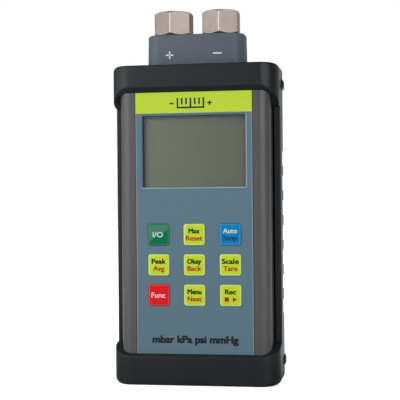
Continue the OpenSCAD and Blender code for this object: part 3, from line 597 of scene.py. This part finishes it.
class MANOMETER_OT_display(bpy.types.Operator):
    """Lens and liquid crystal"""
    bl_idname = "manometer.display"
    bl_label = "Display"

    def execute(self, context):
        p = context.scene.manometer_face
        # Reflective liquid crystal: grey-green, with painted shade at the left and top towards its frame,
        # standing in for the shadow of the cell's edge, and a little painted shade to the right
        lcd = grained("Liquid crystal", p.lcd, 0.5, 0.0, 0.3, 0.02, {"Specular IOR Level": 0.3})
        tree, spot = within(lcd)
        left = remap(tree, spot["X"], -27.4 * MM, -23.8 * MM, kind="SMOOTHSTEP")
        above = remap(tree, spot["Z"], 141.4 * MM, 138.4 * MM, kind="SMOOTHSTEP")
        lit = calc(tree, "MULTIPLY", left, above)
        # Painted shade at the left and top of the display
        lay_over(lcd, calc(tree, "SUBTRACT", 1.0, lit), linear("3c4448"))
        # Painted shade to the right of the display
        lay_over(lcd, remap(tree, spot["X"], -20 * MM, 28 * MM, 0.0, 0.4), linear("3d4030"))
        dress(lcd, "lcd_glass")
        # Hard-coated acrylic: clear, smooth, with a thin even reflection
        lens, tree, shader, place = start("Clear acrylic", {
            "Base Color": linear("f2f7f5"), "IOR": 1.49, "Transmission Weight": 1.0})
        haze = add(tree, "TexNoise", {"Vector": place, "Scale": 120.0})
        rough = remap(tree, haze, 0.0, 1.0, 0.02, 0.07)
        tree.links.new(rough.outputs[0], shader.inputs["Roughness"])
        dress(lens, "display_window")
        return {"FINISHED"}


# Row by row from the upper left: name, colour and both lines of the legend
KEYS = (
    ("key_top_left", "green", "I/O", ""),
    ("key_top_middle", "yellow", "Max", "Reset"),
    ("key_top_right", "blue", "Auto", "Stop"),
    ("key_middle_left", "yellow", "Peak", "Avg"),
    ("key_centre", "yellow", "Okay", "Back"),
    ("key_middle_right", "yellow", "Scale", "Tare"),
    ("key_bottom_left", "red", "Func", ""),
    ("key_bottom_middle", "yellow", "Menu", "Next"),
    ("key_bottom_right", "yellow", "Rec", "play"))
# In mm: spacing of columns and rows, height of the middle row; half width, half height and rise of a key
COLUMN_PITCH, ROW_PITCH, MIDDLE_ROW, KEY_W, KEY_H, KEY_RISE = 18.97, 15.85, 63.0, 5.65, 5.62, 0.7
# How far the legends stand before the keys' tops
INK_LIFT = 0.03


def key_top(x, z, dome):
    """Depth of a key's top before the face: a shallow dome, (1 - (x/a)^2) (1 - (z/b)^2) times its rise."""
    return CASE_FRONT - KEY_RISE + dome - dome * (1 - (x / KEY_W) ** 2) * (1 - (z / KEY_H) ** 2)


def key_solid(radius, slope, dome):
    """Key cap about its middle, as its vertices, its sloped rim's faces and all others: from the peg on the
    switch over the flange behind the face, up the sides and the rim to the dome."""
    # Half width, half height and corner radius, and depth behind the face
    rows = ((2, 2, 1.999, 3.6), (2, 2, 1.999, 3.3), (KEY_W + 1, KEY_H + 1, 1.3, 3.3),
            (KEY_W + 1, KEY_H + 1, 1.3, 2.3), (KEY_W, KEY_H, radius, 2.3), (KEY_W, KEY_H, radius, -0.1),
            (KEY_W - 0.05, KEY_H - 0.05, radius, -0.25), (KEY_W - 0.2, KEY_H - 0.2, radius - 0.1, -0.42))
    rings = [facing_front(ring(a, b, c), CASE_FRONT + d) for a, b, c, d in rows]
    rim = ring(KEY_W - slope, KEY_H - slope, radius - 0.4)
    for share in (1, 0.8, 0.6, 0.4, 0.2, 0.01):
        loop = facing_front(rim * share, 0)
        loop[:, 1] = key_top(loop[:, 0], loop[:, 2], dome)
        rings.append(loop)
    verts, faces = loft(rings)
    first, last = 5 * len(rim), 8 * len(rim)
    return verts, faces[first:last], faces[:first] + faces[last:]


def legend(first, second, skin, cap, way):
    """Lettering of a key with its ink: one line in the middle, or two above each other, of which the last
    can be a square and a triangle."""
    ink, bold = ("dark", 0.065) if skin == "yellow" else ("white", 0.03)
    if not second:
        return [(lettering(first, cap * 1.1, (-0.3, 0), 5.4 if len(first) < 4 else 7.4, 0.02), ink)]
    upper = lettering(first, cap, (0, way), 1.2 + 1.5 * len(first), bold)
    if second == "play":
        triangle = np.array([[1.1, -3.4], [3.5, -2.1], [1.1, -0.9]])
        return [(upper, ink), (shapes(bar(-2.0, -2.1, 2.3, 2.3), triangle), "red")]
    lower = lettering(second, cap, (0, -way), 1.6 + 1.4 * len(second), 0.05)
    return [(upper, ink), (lower, "navy" if skin == "blue" else "red")]


class MANOMETER_OT_keys(bpy.types.Operator):
    """Nine key caps with their legends"""
    bl_idname = "manometer.keys"
    bl_label = "Keys"

    def execute(self, context):
        p = context.scene.manometer_keys
        # Silicone keys under a thin gloss coat: saturated colour, a crisp reflection on the rim, and a
        # painted highlight that pales each rim's colour
        gloss = {"IOR": 1.45, "Specular IOR Level": 0.3, "Coat Weight": 0.25, "Coat Roughness": 0.08}
        # The tops of the green, blue and red keys are duller, which keeps their colour deep
        deep = {**gloss, "Specular IOR Level": 0.08, "Coat Weight": 0.1}
        skins, rims = {}, {}
        for n in ("green", "yellow", "blue", "red"):
            tone = np.array(getattr(p, n))
            skin, rim_highlight = (gloss, p.rim) if n == "yellow" else (deep, p.rim / 6)
            skins[n] = grained(f"Coated {n} key", tone, 0.5, 0.004, 0.35, 0.05, skin)
            # Painted highlight: each rim's colour is paled towards white, strongly on the yellow-green keys
            rims[n] = grained(f"Polished {n} rim", tone + (1 - tone) * rim_highlight, 0.5, 0.004, 0.35, 0.05, gloss)
        # Painted reflection: a paler tone over the green key's upper left half stands in for a softbox
        # slanting in its fresh gloss
        tree, spot = within(skins["green"])
        slant = calc(tree, "MULTIPLY_ADD", spot["X"], -0.6, spot["Z"])
        painted_reflection = remap(tree, slant, 89.2 * MM, 90.6 * MM, 0.0, 0.075, "SMOOTHSTEP")
        lay_over(skins["green"], painted_reflection, (0.8, 1, 1, 1))
        # Printed legends: dull ink
        inks = {n: grained(f"Key ink {n}", getattr(p, f"ink_{n}"), 0.3, 0.002, 0.45, 0.1)
                for n in ("red", "dark", "navy", "white")}
        dome = p.dome / MM
        for k, (name, skin, first, second) in enumerate(KEYS):
            row, column = divmod(k, 3)
            middle = [COLUMN_PITCH * (column - 1), 0, MIDDLE_ROW + ROW_PITCH * (1 - row)]
            verts, rim, rest = key_solid(1.3 if skin == "yellow" else 1.0, p.bevel / MM, dome)
            parts = [(verts + middle, rest, skins[skin]), (None, rim, rims[skin])]
            for (loop, letters), tone in legend(first, second, skin, p.cap / MM, p.line / MM):
                loop[:, 1] += key_top(loop[:, 0], loop[:, 2], dome) - INK_LIFT
                parts.append((loop + middle, letters, inks[tone]))
            piece(name + "_cap", parts, name + "_body", [name], 30)
        return {"FINISHED"}


# The ports in mm: distance of an axis from the middle, its depth, top of the block, nuts across flats
PORT_X, PORT_Y, BLOCK_TOP, NUT_FLATS = 12.825, -0.85, 184.6, 19.0


def hexagon(flats, radius, turn):
    """Outline of a hexagon with rounded corners, of which one faces the front before the turn in degrees:
    arcs of the given radius about centres set in along the corners' own directions, joined by the flats."""
    corner = np.radians(np.arange(6) * 60 - 90 + turn)[:, None]
    reach = (flats / 2 - radius) / math.cos(math.radians(30))
    arcs = reach * circle(corner) + radius * circle(corner + np.radians(np.linspace(-30, 30, 5)))
    last, following = arcs[:, -1:], np.roll(arcs, -1, 0)[:, :1]
    share = np.linspace(0, 1, 7)[1:-1, None]
    return np.concatenate([arcs, last + (following - last) * share], 1).reshape(-1, 2)


def nut_solid(centre, turn, radius):
    """Union nut: rows follow the height at which a cone through the end circle, 0.62 up for each unit out,
    meets the hexagon, so that both ends are turned down in arcs; the bore goes up to the roof over the
    olive."""
    flat = hexagon(NUT_FLATS, radius, turn)
    reach = np.linalg.norm(flat, axis=1)
    unit = flat / reach[:, None]
    end, low, high = NUT_FLATS / 2 - 0.3, BLOCK_TOP + 0.1, 197.3
    rise = 0.62 * (reach - end)
    thread, bore, roof = 8.05, 5.2, 195.35

    def row(r, z):
        return raised(unit * np.broadcast_to(r, reach.shape)[:, None] + centre, z)
    rows = [row(thread, roof), row(thread, low + 0.6), row(8.6, low), row(end - 0.15, low),
            row(end, low + 0.05)]
    rows += [row(end + (reach - end) * t, low + 0.05 + rise * t) for t in (0.5, 1)]
    rows += [row(reach, low + rise + (high - low - 2 * rise) * t) for t in (0.02, 0.34, 0.67, 0.98)]
    rows += [row(end + (reach - end) * t, high - 0.05 - rise * t) for t in (1, 0.5)]
    rows += [row(end, high - 0.05), row(end - 0.15, high), row(5.8, high), row(bore, high - 0.5),
             row(bore, roof)]
    return strip(rows, True)


def block_solid(edge):
    """Port block: rounded rectangles from its foot over the flange and up the neck, which tapers, to a
    quarter round; the top is spanned from each half of its outline to the port's circle, straight towards
    the axis, and each bore goes down to its seat."""
    def station(half_w, half_d, radius, z):
        loop = ring(half_w, half_d, radius)
        loop = np.concatenate([[[0, -half_d]], loop[:2 * CORNER], [[0, half_d]], loop[2 * CORNER:]])
        return raised(loop + [0, PORT_Y], z)
    # Half width, half depth, corner radius and height of the foot, the flange and the neck
    stations = [station(*row) for row in (
        (22.1, 8, 0.5, 154.7), (22.1, 8, 0.5, 159), (28.6, 13.05, 7.5, 159), (28.6, 13.05, 7.5, 162.3),
        (26.3, 10.75, 7.35, 162.3), (26.3, 10.75, 7.35, 167.9))]
    for a in np.radians([0, 22, 45, 67, 90]):
        inwards, down = edge * (1 - math.cos(a)), edge * (1 - math.sin(a))
        stations.append(station(26.0 - inwards, 10.7 - inwards, 7.35, BLOCK_TOP - down))
    wide = len(stations[0])
    ids = np.arange(len(stations) * wide).reshape(len(stations), wide)
    middle = np.array([[0, PORT_Y + 10 * t, BLOCK_TOP] for t in (0.6, 0.2, -0.2, -0.6)])
    verts, faces = [*stations, middle], quads(ids) + [ids[0, ::-1].tolist()]
    rim, mid = ids[-1], ids.size + np.arange(4)
    count = ids.size + 4
    seat, bore_radius = BLOCK_TOP - 12, 6.05
    half = 2 * CORNER + 1
    for x, loop in ((PORT_X, [*rim[:half + 1], *mid]), (-PORT_X, [*rim[half:], rim[0], *mid[::-1]])):
        axis = np.array([x, PORT_Y])
        flat = np.concatenate(verts)[loop][:, :2] - axis
        mouth = axis + bore_radius * flat / np.linalg.norm(flat, axis=1)[:, None]
        bore = count + np.arange(2 * len(loop)).reshape(2, -1)
        verts += [raised(mouth, z) for z in (BLOCK_TOP, seat)]
        faces += quads(np.stack([loop, bore[0], bore[1]])) + [bore[1].tolist()]
        count += bore.size
    return np.concatenate(verts), faces


def barb(x):
    """Hose barb: a closed profile of radius and height, turned about the port's axis."""
    profile = np.array([[1, 154.75], [1, 147.7], [1.8, 147.7], [2.1, 148.9], [1.8, 148.95], [1.8, 154.75]])
    around = circle(np.linspace(0, 2 * math.pi, 25)[:-1])
    return strip([raised([x, PORT_Y] + r * around, z) for r, z in profile], True)


class MANOMETER_OT_ports(bpy.types.Operator):
    """Port block, fittings, nuts, olives and seals"""
    bl_idname = "manometer.ports"
    bl_label = "Ports"

    def execute(self, context):
        p = context.scene.manometer_ports
        # Glass-filled nylon, moulded: blue-grey, satin, with a faint flow of tone
        nylon = grained("Filled nylon", p.block, 0.5, 0.01, 0.42, 0.08, {
            "IOR": 1.53, "Specular IOR Level": 0.3})
        solids = (block_solid(p.block_edge / MM), barb(-PORT_X), barb(PORT_X))
        piece("port_block_body", [(*solid, nylon) for solid in solids], "meter",
              ["port_block"], 40)
        # Nickel-plated brass, drawn hexagon bar: warm silver with upright draw lines and handling scuffs,
        # under a dull oxide film that scatters a quarter of the light. The real lines are a tenth of this
        # width, too fine to show in the render
        upright = (1, 1, 0.3)
        plated = grained("Drawn nickel plate", p.nickel, 0.8, 0.012, 0.3, 0.3, {"Metallic": 0.75}, upright)
        # The upright edges are smoother and more metallic, and their paler colour is a painted highlight that
        # stands in for light glinting along them
        highlit_edge = grained("Rubbed nickel edge", p.painted_edge_highlight, 0.8, 0.006, 0.25, 0.2, {"Metallic": 0.85})
        # The same plate on turned threads, with fine rings
        rings = (0.04, 0.04, 1)
        turned = grained("Turned nickel plate", p.nickel, 0.3, 0.006, 0.25, 0.1, {"Metallic": 0.75}, rings)
        dress(turned, "plus_fitting", "minus_fitting")
        # Bare brass, turned: yellow, with the same rings
        brass = grained("Turned brass", p.brass, 0.3, 0.006, 0.3, 0.1, {"Metallic": 1.0}, rings)
        dress(brass, "plus_olive", "minus_olive")
        # Nitrile rubber, moulded: black, dull
        dress(grained("Nitrile rubber", linear("1c1c1d"), 0.4, 0.02, 0.6, 0.15), "port_seals")
        for side, x, turn in (("plus", -PORT_X, -1.5), ("minus", PORT_X, 1.0)):
            verts, faces = nut_solid((x, PORT_Y), turn, p.corner / MM)
            # Ten columns to a side of the hexagon, of which the first four are its rounded edge
            edges = [f for k, f in enumerate(faces) if k % 10 < 4]
            flats = [f for k, f in enumerate(faces) if k % 10 >= 4]
            # The edge faces carry the painted highlight
            piece(side + "_union_nut", [(verts, flats, plated), (None, edges, highlit_edge)], side + "_nut_body",
                  [side + "_nut"], 28)
        # Pad-printed marks: pale, dull ink
        marks = grained("Pad-printed mark", p.mark, 0.3, 0.002, 0.5, 0.06)
        flat = shapes(bar(-13.3, 173.6, 4, 0.7), bar(-13.3, 173.6, 0.7, 4), bar(12.2, 174, 4.7, 0.7))
        piece("port_marks", [(flat[0] + [0, -11.64, 0], flat[1], marks)], "meter")
        return {"FINISHED"}


# Inner parts: finish, colour, grain and relief in mm, roughness, spread of tone, shader's sockets, nodes
INNER_FINISHES = (
    ("Solder mask", "12592c", 1.2, 0.01, 0.3, 0.25, {"Coat Weight": 0.4}, "main_board"),
    ("Epoxy moulding", "202022", 0.4, 0.01, 0.5, 0.2, {}, "board_chips", "key_switches", "buzzer"),
    ("Ribbed polycarbonate", "26272a", 0.5, 0.01, 0.4, 0.12, {}, "lcd_frame", "battery_holder"),
    ("Nylon connector", "e4dcc4", 0.5, 0.01, 0.45, 0.05, {}, "lead_socket", "pressure_sensor"),
    ("Pink silicone", "d9899b", 0.4, 0.01, 0.5, 0.1, {}, "zebra_strips"),
    ("Milky silicone", "d3cec4", 0.6, 0.01, 0.4, 0.05, {"Subsurface Weight": 0.1}, "plus_hose", "minus_hose"),
    ("Printed cell jacket", "2f6591", 1.0, 0.004, 0.3, 0.1, {"Metallic": 0.4}, "battery_cells"),
    ("Spring nickel", "c4bfb8", 0.3, 0.004, 0.3, 0.1, {"Metallic": 1.0}, "battery_contacts"),
    ("Red vinyl", "b01c1c", 0.4, 0.01, 0.45, 0.1, {}, "plus_lead"),
    ("Black vinyl", "1b1b1c", 0.4, 0.01, 0.45, 0.1, {}, "minus_lead"),
    ("Zinc-plated steel", "bdbcba", 0.3, 0.005, 0.32, 0.12, {"Metallic": 1.0}, "case_screws", "board_screws"))


class MANOMETER_OT_inside(bpy.types.Operator):
    """Materials of the parts inside the case"""
    bl_idname = "manometer.inside"
    bl_label = "Inner parts"

    def execute(self, context):
        for name, tone, grain, relief, roughness, spread, sockets, *nodes in INNER_FINISHES:
            dress(grained(name, linear(tone), grain, relief, roughness, spread, sockets), *nodes)
        return {"FINISHED"}


# The studio that gloss sees round the object, in place of the lamps, which stay out of it: degrees from the
# front, positive to the right, and brightness there. A dim camera side, a wide softbox on the left, one in
# front on the right, gaps between, white behind
ROOM = ((-180, 1), (-172, 1), (-165, 0.2), (-116, 0.2), (-112, 0.1), (-107, 0.1), (-103, 0.7),
        (-80, 0.95), (-62, 1.5), (-54, 2.2), (-26, 2.2), (-13, 0.75), (-5, 0.2), (10, 0.1), (17, 1.6),
        (36, 2), (42, 1.75), (60, 1.75), (67, 0.08), (120, 0.08), (127, 0.45), (150, 0.4), (156, 0.18),
        (171, 0.2), (177, 1), (180, 1))
ROOM_PEAK = 2.2


def room(tree, way):
    """Brightness of the studio in a direction: a colour ramp over the azimuth, which is the arctangent of
    the two level parts of the direction, counted from behind the object, darker towards the ceiling."""
    parts = add(tree, "SeparateXYZ", {"Vector": way}).outputs
    angle = calc(tree, "ARCTAN2", parts["X"], parts["Y"])
    share = remap(tree, angle, -math.pi, math.pi)
    tones = add(tree, "ValToRGB", {"Fac": share})
    stops = sorted((-a / 360 % 1, tone / ROOM_PEAK) for a, tone in ROOM)
    while len(tones.color_ramp.elements) < len(stops):
        tones.color_ramp.elements.new(1)
    for stop, (at, tone) in zip(tones.color_ramp.elements, stops):
        stop.position, stop.color = at, (tone, tone, tone, 1)
    ceiling = remap(tree, parts["Z"], 0.3, 0.7, ROOM_PEAK, 0.8)
    return calc(tree, "MULTIPLY", tones, ceiling)


def rays(tree):
    """The kinds of ray, and 1 on those of the camera, also through the lens of the display, 0 on others."""
    path = add(tree, "LightPath").outputs
    return path, calc(tree, "MAXIMUM", path["Is Camera Ray"], path["Is Transmission Ray"])


# Lamps: name, place, side of the square and power in watts
LAMPS = (("Left softbox", (-0.72, -0.42, 0.35), 0.95, 4.5), ("Right softbox", (0.68, -0.87, 0.45), 0.85, 3.2),
         ("Back softbox", (0.2, 1.1, 0.7), 0.9, 4.5))


class MANOMETER_OT_stage(bpy.types.Operator):
    """Camera, floor and studio light"""
    bl_idname = "manometer.stage"
    bl_label = "Stage"

    def execute(self, context):
        p = context.scene.manometer_stage
        scene = context.scene
        data = bpy.data.cameras.new("Camera")
        data.lens, data.sensor_width, data.clip_start = p.lens, 36, 0.01
        camera = linked("Camera", data)
        # A camera looks down at first: it rolls, is tilted up until it looks to the rear, and yaws
        turn = Matrix.Rotation(math.pi / 2 + p.pitch, 4, "X") @ Matrix.Rotation(-p.roll, 4, "Z")
        camera.matrix_world = (Matrix.Translation((p.camera_x, p.camera_y, p.camera_z))
                               @ Matrix.Rotation(p.yaw, 4, "Z") @ turn)
        scene.camera = camera

        # Pale painted floor: white to the camera, takes the shadow; gloss sees in it a glowing painted image
        # of the room, with painted shade in front of the object and close to it
        paint = grained("Floor paint", p.floor, 4, 0.0, 0.6, 0.01)
        tree, spot = within(paint)
        path, seen = rays(tree)
        light = add(tree, "Emission", {"Strength": calc(tree, "MULTIPLY", seen, p.glow)})
        both = add(tree, "AddShader", {0: tree.nodes["Principled BSDF"], 1: light})
        # Painted shade in the floor's reflection: dimmer just in front of the object and close round it
        behind = remap(tree, spot["Y"], -0.05, 0.2, 0.2, 1.0, "SMOOTHSTEP")
        place = tree.nodes["Texture Coordinate"].outputs["Object"]
        distance = add(tree, "VectorMath", {0: place}, operation="LENGTH").outputs["Value"]
        away = remap(tree, distance, 0.12, 0.35, 0.2, 0.9, "SMOOTHSTEP")
        walls = remap(tree, room(tree, place), 0.0, 1.0, 0.58, 1.0)
        mirrored = calc(tree, "MULTIPLY", walls, calc(tree, "MAXIMUM", behind, away))
        image = add(tree, "Emission", {"Strength": mirrored})
        surface = add(tree, "MixShader", {0: path["Is Glossy Ray"], 1: both, 2: image})
        tree.links.new(surface.outputs[0], tree.nodes["Material Output"].inputs["Surface"])
        mesh = bpy.data.meshes.new("floor")
        # Six metres square, a hair under the object
        mesh.from_pydata(raised(bar(0, 0, 6, 6), -0.0001).tolist(), [], [[0, 1, 2, 3]])
        mesh.materials.append(paint)
        floor = linked("floor", mesh)

        # White to the camera and through the lens; gloss sees the room, and matt surfaces an even fill
        world = bpy.data.worlds.new("Studio")
        scene.world = world
        world.use_nodes = True
        tree = world.node_tree
        tree.nodes.clear()
        path, seen = rays(tree)
        studio = room(tree, add(tree, "TexCoord").outputs["Generated"])
        gloss = remap(tree, path["Is Glossy Ray"], 0.0, 1.0, p.fill, studio)
        level = remap(tree, seen, 0.0, 1.0, gloss, 1.0)
        sky = add(tree, "Background", {"Color": (1, 1, 1, 1), "Strength": level})
        add(tree, "OutputWorld", {"Surface": sky})

        for name, place, size, power in LAMPS:
            lamp = bpy.data.lights.new(name, "AREA")
            lamp.energy, lamp.shape, lamp.size = power, "SQUARE", size
            holder = linked(name, lamp)
            aim = np.array([0, 0, 0.1]) - place
            turn = Vector(aim.tolist()).to_track_quat("-Z", "Y").to_matrix().to_4x4()
            holder.matrix_world = Matrix.Translation(place) @ turn
            holder.visible_glossy = False
        scene.view_settings.view_transform = "Standard"
        return {"FINISHED"}


OPERATORS = (MANOMETER_OT_boot, MANOMETER_OT_case, MANOMETER_OT_face, MANOMETER_OT_display, MANOMETER_OT_keys,
             MANOMETER_OT_ports, MANOMETER_OT_inside, MANOMETER_OT_stage)
GROUPS = {"boot": ManometerBoot, "face": ManometerFace, "keys": ManometerKeys, "ports": ManometerPorts,
          "stage": ManometerStage}


class MANOMETER_PT_sidebar(bpy.types.Panel):
    """Sizes, colours and pieces of the manometer"""
    bl_idname = "MANOMETER_PT_sidebar"
    bl_label = "Manometer"
    bl_space_type = "VIEW_3D"
    bl_region_type = "UI"
    bl_category = "Manometer"

    def draw(self, context):
        for operator in OPERATORS:
            self.layout.operator(operator.bl_idname)
        for name, group in GROUPS.items():
            box = self.layout.box()
            box.label(text=name.capitalize())
            for prop in group.__annotations__:
                box.prop(getattr(context.scene, "manometer_" + name), prop)


def register():
    for name, group in GROUPS.items():
        bpy.utils.register_class(group)
        setattr(bpy.types.Scene, "manometer_" + name, bpy.props.PointerProperty(type=group))
    for cls in (*OPERATORS, MANOMETER_PT_sidebar):
        bpy.utils.register_class(cls)


def unregister():
    for cls in (MANOMETER_PT_sidebar, *OPERATORS[::-1]):
        bpy.utils.unregister_class(cls)
    for name, group in GROUPS.items():
        delattr(bpy.types.Scene, "manometer_" + name)
        bpy.utils.unregister_class(group)


def main():
    register()
    for operator in OPERATORS:
        group, name = operator.bl_idname.split(".")
        getattr(getattr(bpy.ops, group), name)()


if __name__ == "__main__":
    main()
